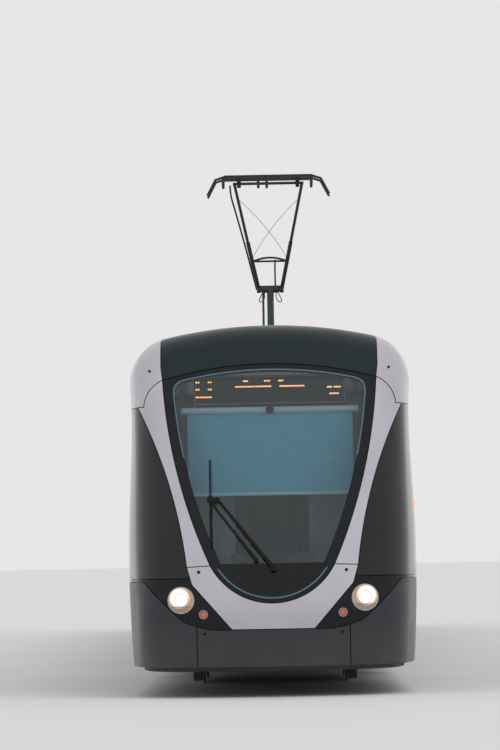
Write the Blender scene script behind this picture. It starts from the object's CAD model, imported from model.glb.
"""Looks of a low-floor articulated tram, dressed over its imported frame.

Everything is in metres, with +Z up, the front cab towards -Y and the origin midway along the tram,
at the level of the tips of the wheel flanges.
"""

import logging
import math
from contextlib import contextmanager
from dataclasses import dataclass, field
from enum import Enum
from functools import cache
from typing import Callable, Iterator, Sequence

import bmesh
import bpy
from mathutils import Matrix, Vector


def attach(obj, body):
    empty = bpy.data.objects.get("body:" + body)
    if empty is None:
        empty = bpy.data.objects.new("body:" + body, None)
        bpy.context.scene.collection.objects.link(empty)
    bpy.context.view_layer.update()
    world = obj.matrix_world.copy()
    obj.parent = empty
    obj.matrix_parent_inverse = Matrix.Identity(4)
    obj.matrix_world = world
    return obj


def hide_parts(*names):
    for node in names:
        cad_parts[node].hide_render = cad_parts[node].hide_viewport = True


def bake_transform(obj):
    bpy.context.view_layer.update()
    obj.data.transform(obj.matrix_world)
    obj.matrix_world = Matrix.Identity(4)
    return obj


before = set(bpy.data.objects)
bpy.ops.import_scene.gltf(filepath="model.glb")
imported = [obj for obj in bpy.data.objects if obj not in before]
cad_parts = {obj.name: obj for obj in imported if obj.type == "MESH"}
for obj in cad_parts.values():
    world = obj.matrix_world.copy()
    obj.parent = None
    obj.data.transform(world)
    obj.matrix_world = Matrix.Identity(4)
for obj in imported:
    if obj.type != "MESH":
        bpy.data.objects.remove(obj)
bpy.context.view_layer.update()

LOG = logging.getLogger("tram")

# Height of the rail heads above the tips of the flanges, and half the length of the tram.
RAIL_HEAD = 0.026
NOSE = 16.25
# Colour of road dust, the height below which it is thickest, and the share of the paint that it hides there.
ROAD_DUST = "#6f675d"
DUST_FULL = 0.15
DUST_SHARE = 0.55
GLASS_IOR = 1.5

Point = tuple[float, float, float]
Spot = tuple[float, float]
Test = Callable[[Vector], bool]
Piece = bpy.types.Object
Tree = bpy.types.NodeTree
Socket = bpy.types.NodeSocket
Node = bpy.types.Node
Band = tuple[str, str, Socket, Socket | float]


def up(height: float) -> float:
    """Turn a height above the rail heads into a place on the Z axis."""
    return RAIL_HEAD + height


def at(back: float) -> float:
    """Turn a distance behind the tip of the front nose into a place on the Y axis."""
    return back - NOSE


class Turn(Enum):
    """Which end of the tram a piece belongs to, as a turn about the upright axis."""

    FRONT = 0.0
    REAR = math.pi

    @property
    def end(self) -> str:
        """Name of the end, as the nodes and bodies have it."""
        return self.name.lower()


def linear(colour: str) -> tuple[float, float, float, float]:
    """Turn an sRGB hex colour into linear values.

    Args:
        colour: Hex digits after a hash.

    Returns:
        Red, green, blue and full alpha.
    """
    values = [int(colour[i : i + 2], 16) / 255 for i in (1, 3, 5)]
    return (*[v / 12.92 if v <= 0.04045 else ((v + 0.055) / 1.055) ** 2.4 for v in values], 1.0)


def add_node(tree: Tree, kind: str, inputs: dict | None = None, **settings: object) -> Node:
    """Add one shader node with its settings and links.

    Args:
        tree: Node tree that takes the node.
        kind: Blender's name of the node type, without its start.
        inputs: What its inputs get, by name or number: a constant, or the socket that is linked.
        **settings: Its properties.

    Returns:
        The new node.
    """
    node = tree.nodes.new("ShaderNode" + kind)
    for key, value in settings.items():
        setattr(node, key, value)
    for key, value in (inputs or {}).items():
        if isinstance(value, Socket):
            tree.links.new(value, node.inputs[key])
        else:
            node.inputs[key].default_value = value
    return node


@dataclass(frozen=True)
class Finish:
    """One surface finish with cloudy variation in colour and roughness.

    Attributes:
        name: What the real surface is.
        base: Main colour in sRGB hex.
        shade: Colour of its darker or dustier patches.
        roughness: Roughness of the clean surface.
        metallic: 1 for bare metal, less for metallic paint.
        coat: Weight of a clear lacquer on top.
        patch_mm: Size of the patches of variation.
        patch_share: How much of the shade colour shows in the patches.
        grit_mm: Size of the fine surface texture.
        grit_depth_mm: Height of the fine surface texture.
        dust_top: Height in metres up to which road dust lies, or 0 for none.
        gloss: Specular level, 0.5 for plain paint.
    """

    name: str
    base: str
    shade: str
    roughness: float
    metallic: float = 0.0
    coat: float = 0.0
    patch_mm: float = 400.0
    patch_share: float = 0.25
    grit_mm: float = 4.0
    grit_depth_mm: float = 0.0
    dust_top: float = 0.0
    gloss: float = 0.5

    def bands(self, tree: Tree, place: Socket) -> Sequence[Band]:
        """Colours that lie over the base colour one after another, each where a test holds.

        Args:
            tree: Node tree of the material.
            place: Object coordinates.

        Returns:
            Each colour with the name of its test, the value that is tested and its limit.
        """
        return ()

    def dusty(self, tree: Tree, place: Socket, clean: Socket, cloud: Socket) -> Socket:
        """Lay road dust over the lowest part of a surface.

        Args:
            tree: Node tree of the material.
            place: Object coordinates.
            clean: Colour without the dust.
            cloud: Noise that breaks the dust up.

        Returns:
            Socket with the dusty colour.
        """
        height = add_node(tree, "SeparateXYZ", {"Vector": place}).outputs["Z"]
        inputs = {"From Min": self.dust_top, "From Max": DUST_FULL, "To Min": 0.0, "To Max": DUST_SHARE}
        low = add_node(tree, "MapRange", {"Value": height} | inputs).outputs[0]
        share = add_node(tree, "Math", {0: low, 1: cloud}, operation="MULTIPLY").outputs[0]
        return add_node(tree, "Mix", {0: share, 6: clean, 7: linear(ROAD_DUST)}, data_type="RGBA").outputs[2]

    @cache
    def material(self) -> bpy.types.Material:
        """Build the node material.

        Returns:
            The material, named for the real surface.
        """
        material = bpy.data.materials.new(self.name)
        material.use_nodes = True
        tree = material.node_tree
        tree.nodes.clear()
        place = add_node(tree, "TexCoord").outputs["Object"]
        inputs = {"Vector": place, "Scale": 1000 / self.patch_mm, "Detail": 5.0, "Roughness": 0.6}
        cloud = add_node(tree, "TexNoise", inputs).outputs["Fac"]
        inputs = {"Value": cloud, "From Min": 0.42, "From Max": 0.75, "To Min": 0.0, "To Max": self.patch_share}
        share = add_node(tree, "MapRange", inputs).outputs[0]
        clean = linear(self.base)
        for colour, test, value, limit in self.bands(tree, place):
            here = add_node(tree, "Math", {0: value, 1: limit}, operation=test).outputs[0]
            clean = add_node(tree, "Mix", {0: here, 6: clean, 7: linear(colour)}, data_type="RGBA").outputs[2]
        top = add_node(tree, "Mix", {0: share, 6: clean, 7: linear(self.shade)}, data_type="RGBA").outputs[2]
        if self.dust_top:
            top = self.dusty(tree, place, top, cloud)
        inputs = {
            "Value": cloud,
            "From Min": 0.3,
            "From Max": 0.7,
            "To Min": self.roughness * 0.85,
            "To Max": min(1.0, self.roughness * 1.2),
        }
        inputs = {
            "Base Color": top,
            "Roughness": add_node(tree, "MapRange", inputs).outputs[0],
            "Metallic": self.metallic,
            "Coat Weight": self.coat,
            "Coat Roughness": 0.04,
            "Specular IOR Level": self.gloss,
        }
        shader = add_node(tree, "BsdfPrincipled", inputs)
        if self.grit_depth_mm:
            inputs = {"Vector": place, "Scale": 1000 / self.grit_mm, "Detail": 3.0}
            grit = add_node(tree, "TexNoise", inputs).outputs["Fac"]
            inputs = {"Height": grit, "Strength": 0.6, "Distance": self.grit_depth_mm / 1000}
            tree.links.new(add_node(tree, "Bump", inputs).outputs[0], shader.inputs["Normal"])
        self.finish_shader(tree, place, shader)
        add_node(tree, "OutputMaterial", {"Surface": shader.outputs[0]})
        return material

    def finish_shader(self, tree: Tree, place: Socket, shader: Node) -> None:
        """Set what only this finish has on its shader.

        Args:
            tree: Node tree of the material.
            place: Object coordinates.
            shader: The Principled node.
        """


@dataclass(frozen=True)
class Glazing(Finish):
    """Flat tinted glass.

    Attributes:
        clearness: Share of light that passes, from 0 to 1.
    """

    clearness: float = 1.0

    def finish_shader(self, tree: Tree, place: Socket, shader: Node) -> None:
        """Make the surface let light through."""
        shader.inputs["Transmission Weight"].default_value = self.clearness
        shader.inputs["IOR"].default_value = GLASS_IOR


def circle_through(a: Spot, b: Spot, c: Spot) -> Point:
    """Centre and radius of the circle through three points of the front view.

    Args:
        a: First point, across and up.
        b: Second point.
        c: Third point.

    Returns:
        Place of the centre across and up, and the radius.
    """
    (ax, az), (bx, bz), (cx, cz) = a, b, c
    double = 2 * (ax * (bz - cz) + bx * (cz - az) + cx * (az - bz))
    squares = [x * x + z * z for x, z in (a, b, c)]
    x = (squares[0] * (bz - cz) + squares[1] * (cz - az) + squares[2] * (az - bz)) / double
    z = (squares[0] * (cx - bx) + squares[1] * (ax - cx) + squares[2] * (bx - ax)) / double
    return x, z, math.hypot(ax - x, az - z)


def folded_axes(tree: Tree, place: Socket) -> tuple[Socket, Socket, Socket]:
    """Distances from the middle of the tram, so that both sides and both ends read alike.

    Args:
        tree: Node tree of the material.
        place: Object coordinates.

    Returns:
        Sockets with the distance across and along the tram, and the height.
    """
    axes = add_node(tree, "SeparateXYZ", {"Vector": place}).outputs
    across, along = [add_node(tree, "Math", {0: axes[k]}, operation="ABSOLUTE").outputs[0] for k in ("X", "Y")]
    return across, along, axes["Z"]


def front_view(tree: Tree, place: Socket) -> tuple[Socket, Socket]:
    """Place in the front view, folded over so that both sides of the tram read alike.

    Args:
        tree: Node tree of the material.
        place: Object coordinates.

    Returns:
        Sockets with the flat place, and the height.
    """
    across, _, height = folded_axes(tree, place)
    return add_node(tree, "CombineXYZ", {"X": across, "Y": height}).outputs[0], height


@dataclass(frozen=True)
class Windscreen(Glazing):
    """Laminated windscreen with a fired black border and a black field under the clear part.

    Attributes:
        border: Colour of the fired enamel.
        line: Colour of the thin lines along the border's inner edge and round the black field.
        line_half: Half the width of those lines.
        sides: Three points of the glass's side edge, across and above the rail.
        keel: Lowest point of the glass above the rail.
        top: Highest point of the glass above the rail.
        side_border, top_border: Width of the border.
        corner: How gently the border turns from the side to the top.
        clear_foot: Height above the rail at which the clear part begins.
        rim: How far the line round the black field lies inside the edge.
        upper_from, lower_to: Heights above the rail that the two lines keep to.
    """

    border: str = "#080c0f"
    line: str = "#4d666d"
    line_half: float = 0.006
    sides: tuple[Spot, ...] = ((0.552, 1.150), (0.842, 1.995), (0.970, 2.841))
    keel: float = 0.813
    top: float = 2.968
    side_border: float = 0.092
    top_border: float = 0.052
    corner: float = 0.16
    clear_foot: float = 1.165
    rim: float = 0.046
    upper_from: float = 2.124
    lower_to: float = 1.124

    def inside(self, tree: Tree, flat: Socket, circle: Point, border: float) -> Socket:
        """Distance inside a circular edge less a border.

        Args:
            tree: Node tree of the material.
            flat: Place in the front view, folded over to one side.
            circle: Centre and radius of the edge.
            border: Width of the border.

        Returns:
            Socket with the distance, positive inside.
        """
        x, z, radius = circle
        away = add_node(tree, "VectorMath", {0: flat, 1: (x, z, 0.0)}, operation="DISTANCE").outputs["Value"]
        return add_node(tree, "Math", {0: radius - border, 1: away}, operation="SUBTRACT").outputs[0]

    def arch(self, middle: float, end: Spot) -> Point:
        """Circle of an edge that crosses the middle of the glass at one height and ends at a point."""
        return circle_through((-end[0], end[1]), (0.0, up(middle)), end)

    def window(self, tree: Tree, place: Socket) -> tuple[Socket, Socket]:
        """Share of clear glass and of the thin lines at a place.

        Args:
            tree: Node tree of the material.
            place: Object coordinates.

        Returns:
            Sockets with 1 in the clear part, and 1 on the lines.
        """
        flat, height = front_view(tree, place)
        edge = [(x, up(z)) for x, z in self.sides]
        side = self.inside(tree, flat, circle_through(*edge), self.side_border)
        top = self.inside(tree, flat, self.arch(self.top, edge[2]), self.top_border)
        bowl = self.inside(tree, flat, self.arch(self.keel, edge[0]), self.rim)
        foot = add_node(tree, "Math", {0: height, 1: up(self.clear_foot)}, operation="SUBTRACT").outputs[0]
        rounded = add_node(tree, "Math", {0: side, 1: top, 2: self.corner}, operation="SMOOTH_MIN").outputs[0]
        depth = add_node(tree, "Math", {0: rounded, 1: foot}, operation="MINIMUM").outputs[0]
        clear = add_node(tree, "Math", {0: depth, 1: 0.0}, operation="GREATER_THAN").outputs[0]
        lines = []
        for source, limit, test in (
            (depth, self.upper_from, "GREATER_THAN"),
            (bowl, self.lower_to, "LESS_THAN"),
        ):
            on_edge = add_node(tree, "Math", {0: source, 1: 0.0, 2: self.line_half}, operation="COMPARE").outputs[0]
            in_range = add_node(tree, "Math", {0: height, 1: up(limit)}, operation=test).outputs[0]
            lines.append(add_node(tree, "Math", {0: on_edge, 1: in_range}, operation="MULTIPLY").outputs[0])
        return clear, add_node(tree, "Math", dict(enumerate(lines)), operation="MAXIMUM").outputs[0]

    def bands(self, tree: Tree, place: Socket) -> Sequence[Band]:
        """Black round the clear part, and the lines' colour on the lines."""
        clear, lines = self.window(tree, place)
        return (self.border, "LESS_THAN", clear, 0.5), (self.line, "GREATER_THAN", lines, 0.5)

    def finish_shader(self, tree: Tree, place: Socket, shader: Node) -> None:
        """Let light through the clear part only."""
        shader.inputs["IOR"].default_value = GLASS_IOR
        clear, lines = self.window(tree, place)
        passing = add_node(tree, "Math", {0: clear, 1: lines}, operation="SUBTRACT", use_clamp=True).outputs[0]
        tree.links.new(passing, shader.inputs["Transmission Weight"])


@dataclass(frozen=True)
class BandedPaint(Finish):
    """Body paint in bands of height: lower panels, the black window band and the light strip above it.

    Attributes:
        band: Colour of the window band and of the nose's sides.
        cant: Colour of the strip above it.
        inside: Colour of the lining on the inner faces.
        belt: Height of the top of the lower panels.
        band_top: Height of the top of the window band.
        nose_from: Distance from the middle of the tram where the black nose frame begins.
        lining_low, lining_high: Height and half width at two places between outer skin and lining.
    """

    band: str = "#0a0f12"
    cant: str = "#8f8b95"
    inside: str = "#9aa0a2"
    belt: float = up(1.0)
    band_top: float = up(2.61)
    nose_from: float = 14.045
    lining_low: Spot = (1.15, 1.287)
    lining_high: Spot = (2.7, 1.256)

    def bands(self, tree: Tree, place: Socket) -> Sequence[Band]:
        """Choose the colour by height, depth in the wall and distance along the tram."""
        across, along, height = folded_axes(tree, place)
        inputs = {"Value": height}
        for end, (level, half) in (("Min", self.lining_low), ("Max", self.lining_high)):
            inputs |= {f"From {end}": level, f"To {end}": half}
        return (
            (self.band, "GREATER_THAN", height, self.belt),
            (self.cant, "GREATER_THAN", height, self.band_top),
            (self.inside, "LESS_THAN", across, add_node(tree, "MapRange", inputs).outputs[0]),
            (self.band, "GREATER_THAN", along, self.nose_from),
        )


@dataclass(frozen=True)
class SideGlass(Glazing):
    """Tinted side glass, with black film over the panes beside the nose.

    Attributes:
        film: Colour of the film.
        film_from: Distance from the middle of the tram where the film begins.
    """

    film: str = "#0b1215"
    film_from: float = 14.045

    def bands(self, tree: Tree, place: Socket) -> Sequence[Band]:
        """Film beside the nose."""
        return ((self.film, "GREATER_THAN", folded_axes(tree, place)[1], self.film_from),)


@dataclass(frozen=True)
class InsulatedFrame(Finish):
    """Painted steel frame that stands on glazed insulators.

    Attributes:
        glaze: Colour of the insulators.
        frame_from: Height at which the steel begins.
    """

    glaze: str = "#5b3a2e"
    frame_from: float = up(3.33)

    def bands(self, tree: Tree, place: Socket) -> Sequence[Band]:
        """Glaze below the frame."""
        return ((self.glaze, "LESS_THAN", folded_axes(tree, place)[2], self.frame_from),)


@dataclass(frozen=True)
class LampLens(Finish):
    """Headlamp and turn lamp lenses with a bright core, a dimmer rim and ribs in the lower part.

    Attributes:
        headlamp: Colour of the headlamp's core.
        rim_light: Colour of the light at its rim.
        turn: Colour of the turn lamp's light.
        strength: Strength of the headlamp's core, 0 when it is off.
        turn_strength: Strength of the turn lamp.
        centre, turn_centre: Middle of each lamp, across and up.
        core_shift: How far the core lies outwards of and above the middle.
        core_radius, rim_radius: Where the core ends and where the dim rim begins.
        rim_share: Share of the core's strength at the rim.
        lens_radius, turn_radius: Radius of the lit part of each lens.
        ribs_below: How far under the middle the ribs begin.
        rib_share: Share of the light that passes the darkest part of a rib.
        rib_mm: Distance between the ribs.
        edge: Width over which one part fades into the next.
    """

    headlamp: str = "#fff6e6"
    rim_light: str = "#ffb777"
    turn: str = "#d0561c"
    strength: float = 1.25
    turn_strength: float = 0.9
    centre: Spot = (0.817, up(0.849))
    turn_centre: Spot = (0.618, up(0.721))
    core_shift: Spot = (0.016, 0.022)
    core_radius: float = 0.070
    rim_radius: float = 0.100
    rim_share: float = 0.3
    lens_radius: float = 0.124
    turn_radius: float = 0.040
    ribs_below: float = 0.055
    rib_share: float = 0.25
    rib_mm: float = 17.0
    edge: float = 0.005

    def finish_shader(self, tree: Tree, place: Socket, shader: Node) -> None:
        """Light the lenses from their middle."""
        flat, height = front_view(tree, place)
        core_centre = [middle + step for middle, step in zip(self.centre, self.core_shift)]
        lens_away, turn_away, core_away = [
            add_node(tree, "VectorMath", {0: flat, 1: (*middle, 0.0)}, operation="DISTANCE").outputs["Value"]
            for middle in (self.centre, self.turn_centre, core_centre)
        ]
        phase = add_node(tree, "Math", {0: height, 1: 2000 * math.pi / self.rib_mm}, operation="MULTIPLY").outputs[0]
        wave = add_node(tree, "Math", {0: phase}, operation="SINE").outputs[0]
        rib_top = self.centre[1] - self.ribs_below
        turn_edge = self.turn_radius + self.edge
        shares = []
        for value, start, end, low, high in (
            (core_away, self.core_radius, self.rim_radius, 1.0, self.rim_share),
            (lens_away, self.lens_radius, self.lens_radius - self.edge, 0.0, 1.0),
            (wave, -1.0, 1.0, self.rib_share, 1.0),
            (height, rib_top, rib_top + 2 * self.edge, 1.0, 0.0),
            (turn_away, self.turn_radius, self.edge, 0.0, 1.0),
            (turn_away, turn_edge, self.turn_radius, 0.0, 1.0),
        ):
            inputs = {"Value": value, "From Min": start, "From Max": end, "To Min": low, "To Max": high}
            shares.append(add_node(tree, "MapRange", inputs).outputs[0])
        core, lens, ribs, low_part, turn_glow, is_turn = shares
        light = add_node(tree, "Mix", {0: low_part, 2: 1.0, 3: ribs}, data_type="FLOAT").outputs[0]
        for factor in (core, lens):
            light = add_node(tree, "Math", {0: light, 1: factor}, operation="MULTIPLY").outputs[0]
        turn_light = add_node(tree, "Math", {0: turn_glow, 1: self.turn_strength}, operation="MULTIPLY").outputs[0]
        total = add_node(tree, "Math", {0: light, 1: self.strength, 2: turn_light}, operation="MULTIPLY_ADD")
        colour = linear(self.rim_light)
        for share, light_colour in ((core, self.headlamp), (is_turn, self.turn)):
            inputs = {0: share, 6: colour, 7: linear(light_colour)}
            colour = add_node(tree, "Mix", inputs, data_type="RGBA").outputs[2]
        tree.links.new(colour, shader.inputs["Emission Color"])
        tree.links.new(total.outputs[0], shader.inputs["Emission Strength"])


@dataclass(frozen=True)
class Lit(Finish):
    """Surface that gives off its own colour.

    Attributes:
        strength: Strength of the light.
    """

    strength: float = 1.0

    def finish_shader(self, tree: Tree, place: Socket, shader: Node) -> None:
        """Make the surface glow in its base colour."""
        shader.inputs["Emission Color"].default_value = linear(self.base)
        shader.inputs["Emission Strength"].default_value = self.strength


class Paints:
    """The finishes of the tram, each made into a material once."""

    # Silver base coat under clear lacquer, sprayed on glass-fibre mouldings: a soft metallic sheen that
    # turns cloudy over some 400 mm, with road dust low down.
    silver = Finish("lacquered silver paint", "#b0acb4", "#8d8a92", 0.32, metallic=0.35, coat=0.6, dust_top=0.9)
    # Dark green-grey enamel on a glass-fibre moulding, rubbed by years of washing: a dull, soft shine.
    brow = Finish("dark sprayed enamel", "#152125", "#111c20", 0.28, coat=0.12, gloss=0.18)
    # Grey metallic paint on pressed aluminium skirts: a satin sheen, browner towards the road.
    apron = Finish("grey metallic paint", "#2b2e33", "#25282c", 0.36, metallic=0.4, coat=0.1, dust_top=0.7)
    # The same paint on the welded body sides, with the glued window band above it in black.
    body = BandedPaint(
        "banded metallic body paint", "#2b2e33", "#25282c", 0.36, metallic=0.4, coat=0.05, dust_top=0.7, gloss=0.12
    )
    # Black acrylic sheet, cast and glued on: a deep, almost mirror-smooth black.
    black_cover = Finish("cast black acrylic", "#0a1013", "#10161a", 0.08, gloss=0.25)
    # Extruded aluminium, painted dark: plain edges with a dull satin shine.
    trim = Finish("painted aluminium extrusion", "#3a3d40", "#2e3134", 0.4, metallic=0.6, patch_mm=200)
    # Stainless steel with a fine brushed grain, too fine to see here, shown as cloudy patches of 60 mm.
    bright_trim = Finish(
        "brushed stainless steel", "#b4b6b8", "#9a9c9e", 0.25, metallic=1.0, patch_mm=60, patch_share=0.4
    )
    # Powder-coated steel arms and rubber blade: an even semi-gloss black.
    wiper = Finish("black powder coating", "#08090a", "#101112", 0.4, patch_mm=60, gloss=0.25)
    # Rubber-coated fabric, vulcanised in folds: matt, dusty on its ridges, with a weave of 3 mm.
    rubber = Finish(
        "rubber-coated bellows fabric", "#26282b", "#3a3734", 0.78, patch_share=0.5, grit_mm=3, grit_depth_mm=0.3
    )
    # Laminated glass with ceramic enamel fired on from inside: clear in the middle, glossy black round it.
    screen = Windscreen("laminated windscreen glass", "#cfe6ec", "#c9e0e7", 0.02, patch_share=0.0, gloss=0.3)
    # Toughened float glass, tinted grey in the melt: dark from outside, with the saloon just showing.
    tinted = SideGlass("tinted float glass", "#76838a", "#707d84", 0.03, clearness=0.95, gloss=0.2)
    # Moulded polycarbonate over a reflector: a white core, a warm rim and ribs 17 mm apart.
    lamp = LampLens("lit polycarbonate lens", "#3c4044", "#303438", 0.12, metallic=0.3, coat=0.4)
    # The same lens at the tail, where the headlamp is off and the small lamp is red.
    tail_lamp = LampLens(
        "tail polycarbonate lens",
        "#8f9496",
        "#7c8184",
        0.12,
        metallic=0.3,
        coat=0.8,
        strength=0.0,
        turn="#c01812",
        turn_strength=0.8,
    )
    # Amber acrylic over a bulb: glows evenly, with a smooth wet look.
    repeater = Lit("moulded amber acrylic", "#ff8a3a", "#ff7a2a", 0.15, strength=0.9)
    # Opal acrylic over ceiling strips: an even, soft white.
    diffuser = Lit("opal acrylic diffuser", "#f2f0ea", "#e8e6e0", 0.5, strength=0.8)
    # Amber diodes of the destination display, run together into bars: bright and sharp.
    amber = Lit("lit amber diodes", "#ff9a60", "#ff8a48", 0.4, strength=3.0)
    # Welded steel under sprayed bitumen: a rough dark skin, rusty and dusty in patches.
    steel = Finish(
        "bitumen-coated steel", "#2b2c2e", "#4a433c", 0.62, metallic=0.2, patch_share=0.55, grit_depth_mm=0.2
    )
    # Cast steel frames, painted and covered with brake dust: brown-black and coarse, patches of 160 mm.
    bogie = Finish(
        "painted cast steel",
        "#26272a",
        "#54483c",
        0.66,
        metallic=0.3,
        patch_mm=160,
        patch_share=0.7,
        grit_depth_mm=0.4,
    )
    # Turned tyre steel: bright where it runs, brown with rust elsewhere.
    wheel = Finish("turned wheel steel", "#8a8682", "#5b5048", 0.34, metallic=0.95, patch_mm=120, patch_share=0.6)
    # Grey paint on aluminium sheet, left to the weather: chalky, with soot in wide clouds.
    roof = Finish("weathered roof paint", "#96939b", "#767376", 0.6, patch_share=0.4)
    # Painted steel tube: a dull green-grey with brown wear in patches of 120 mm.
    pantograph = Finish(
        "painted steel tube", "#2b3b40", "#4b443d", 0.5, metallic=0.5, patch_mm=120, patch_share=0.5
    )
    # The same paint on the base frame, which stands on brown glazed porcelain.
    base_frame = InsulatedFrame(
        "painted frame on glazed porcelain", "#2b3b40", "#3b3a38", 0.4, patch_mm=120, patch_share=0.4
    )
    # Braided copper shunts: strands of 1.5 mm, dull and brown.
    braid = Finish(
        "braided copper",
        "#6a4a38",
        "#3d3028",
        0.5,
        metallic=0.8,
        patch_mm=12,
        patch_share=0.7,
        grit_mm=1.5,
        grit_depth_mm=0.3,
    )
    # Pressed carbon strips, ground by the wire: near black, with a faint grey shine.
    carbon = Finish(
        "pressed contact carbon", "#1c1e20", "#2f3132", 0.55, metallic=0.1, patch_mm=40, patch_share=0.6
    )
    # Woven wool moquette: matt, with tufts of 1.6 mm and a speckle of 6 mm.
    seat = Finish(
        "woven seat moquette",
        "#2f4156",
        "#25354a",
        0.85,
        patch_mm=6,
        patch_share=0.6,
        grit_mm=1.6,
        grit_depth_mm=0.4,
    )
    # Injection-moulded nylon shells: an even grey with a 2 mm grain.
    shell = Finish("moulded nylon shell", "#63686c", "#55595e", 0.45, grit_mm=2, grit_depth_mm=0.05)
    # Vacuum-formed ABS with a leather-like grain of 1.5 mm: dark and matt, to keep reflections down.
    desk = Finish("grained ABS moulding", "#23292d", "#1b2024", 0.55, grit_mm=1.5, grit_depth_mm=0.1)
    # Pale anodised aluminium: a smooth satin tube and bar.
    pale_trim = Finish("pale anodised aluminium", "#e4edf1", "#cdd8dd", 0.4, patch_mm=120)
    # High-pressure laminate on plywood: flat, dark, with a 3 mm orange-peel.
    dark_panel = Finish(
        "dark laminate panel", "#14232b", "#101c22", 0.5, patch_mm=300, grit_mm=3, grit_depth_mm=0.05
    )
    # Vinyl-coated polyester: matt and even, with a weave of 1.2 mm.
    blind = Finish(
        "coated polyester blind",
        "#8ecfe4",
        "#84c2d8",
        0.8,
        patch_mm=90,
        patch_share=0.4,
        grit_mm=1.2,
        grit_depth_mm=0.1,
    )


@dataclass
class Studio:
    """Floor, light and camera.

    Attributes:
        camera_distance: From the tip of the nose to the camera, in metres.
        camera_height: Above the rail heads.
        camera_side: To the right of the tram's centre line.
        lens: Focal length in millimetres, for 36 mm along the long side of the picture.
        tilt, turn, roll: How far the camera looks up, to the left, and leans, in degrees.
        shown, light: Colour and strength of the surroundings as they are seen, and of the light they give.
        floor_size: Length of the floor's sides.
        suns: Name, bearing to the right, height and strength of each lamp, with the angles in degrees.
        sun_spread: How wide each lamp is, in degrees.
    """

    camera_distance: float = 34.5
    camera_height: float = 1.23
    camera_side: float = 0.08
    lens: float = 187.2
    tilt: float = 2.66
    turn: float = 0.41
    roll: float = -1.05
    shown: tuple[str, float] = ("#e9e6e6", 1.0)
    light: tuple[str, float] = ("#e9ecf2", 0.7)
    floor_size: float = 900.0
    suns: tuple[tuple[str, float, float, float], ...] = (("key", -28.0, 42.0, 1.6), ("fill", 50.0, 30.0, 0.5))
    sun_spread: float = 60.0

    def build(self) -> None:
        """Set up the whole studio."""
        self.camera()
        self.world()
        self.floor()
        self.lights()

    def camera(self) -> None:
        """Place the camera where the photograph was taken from."""
        data = bpy.data.cameras.new("camera")
        data.lens = self.lens
        data.sensor_width = 36.0
        data.clip_end = 500.0
        camera = link(bpy.data.objects.new("camera", data))
        place = Matrix.Translation((self.camera_side, -NOSE - self.camera_distance, up(self.camera_height)))
        for angle, axis in ((self.turn, "Z"), (90 + self.tilt, "X"), (self.roll, "Z")):
            place @= Matrix.Rotation(math.radians(angle), 4, axis)
        camera.matrix_world = place
        bpy.context.scene.camera = camera

    def world(self) -> None:
        """Pale surroundings for the camera, glass and metal, and softer even light for the rest."""
        world = bpy.data.worlds.new("studio")
        bpy.context.scene.world = world
        world.use_nodes = True
        tree = world.node_tree
        tree.nodes.clear()
        path = add_node(tree, "LightPath").outputs
        seen = path["Is Camera Ray"]
        for ray in ("Is Glossy Ray", "Is Transmission Ray"):
            seen = add_node(tree, "Math", {0: seen, 1: path[ray]}, operation="MAXIMUM").outputs[0]
        light, shown = [
            add_node(tree, "Background", {"Color": linear(colour), "Strength": strength}).outputs[0]
            for colour, strength in (self.light, self.shown)
        ]
        mixed = add_node(tree, "MixShader", {0: seen, 1: light, 2: shown}).outputs[0]
        add_node(tree, "OutputWorld", {"Surface": mixed})

    def floor(self) -> None:
        """Pale floor at the level of the wheel flanges."""
        select_none()
        bpy.ops.mesh.primitive_plane_add(size=self.floor_size)
        floor = settled("floor")
        floor.data.materials.append(Finish("pale floor", "#d9d6d4", "#d3d0ce", 0.75, patch_mm=3000).material())

    def lights(self) -> None:
        """Soft light from the front left, and a weaker one from the right, even all along the tram."""
        for name, bearing, height, strength in self.suns:
            data = bpy.data.lights.new(name, "SUN")
            data.energy = strength
            data.angle = math.radians(self.sun_spread)
            lamp = link(bpy.data.objects.new(name, data))
            lamp.rotation_euler = (math.radians(90.0 - height), 0.0, math.radians(-bearing))
            lamp.visible_glossy = False
            lamp.visible_transmission = False


def link(thing: Piece) -> Piece:
    """Put a new object in the scene."""
    bpy.context.scene.collection.objects.link(thing)
    return thing


def select_none() -> None:
    """Leave nothing selected before a new piece is made."""
    if bpy.context.object and bpy.context.object.mode != "OBJECT":
        bpy.ops.object.mode_set(mode="OBJECT")
    bpy.ops.object.select_all(action="DESELECT")


def activate(piece: Piece) -> None:
    """Select one piece alone and make it the active one."""
    select_none()
    bpy.context.view_layer.objects.active = piece
    piece.select_set(True)


def settled(name: str) -> Piece:
    """Name the newest primitive and put its place into its mesh."""
    bpy.ops.object.transform_apply(location=True, rotation=True, scale=True)
    bpy.context.object.name = name
    return bpy.context.object


def start_block(name: str, low: Point, high: Point) -> Piece:
    """Add a cube between two corners, as the start of a piece.

    Args:
        name: Name of the piece.
        low: Lowest corner.
        high: Highest corner.

    Returns:
        The new object, with its place in its mesh.
    """
    select_none()
    centre = [(a + b) / 2 for a, b in zip(low, high)]
    bpy.ops.mesh.primitive_cube_add(size=1.0, location=centre, scale=[b - a for a, b in zip(low, high)])
    return settled(name)


def start_tube(name: str, start: Point, end: Point, radius: float, sides: int = 24) -> Piece:
    """Add a cylinder from one point to another, as the start of a piece.

    Args:
        name: Name of the piece.
        start: Centre of the first end.
        end: Centre of the other end.
        radius: Radius in metres.
        sides: Number of sides.

    Returns:
        The new object, with its place in its mesh.
    """
    select_none()
    run = Vector(end) - Vector(start)
    bpy.ops.mesh.primitive_cylinder_add(
        vertices=sides,
        radius=radius,
        depth=run.length,
        location=(Vector(start) + Vector(end)) / 2,
        rotation=run.to_track_quat("Z", "Y").to_euler(),
    )
    return settled(name)


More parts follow.
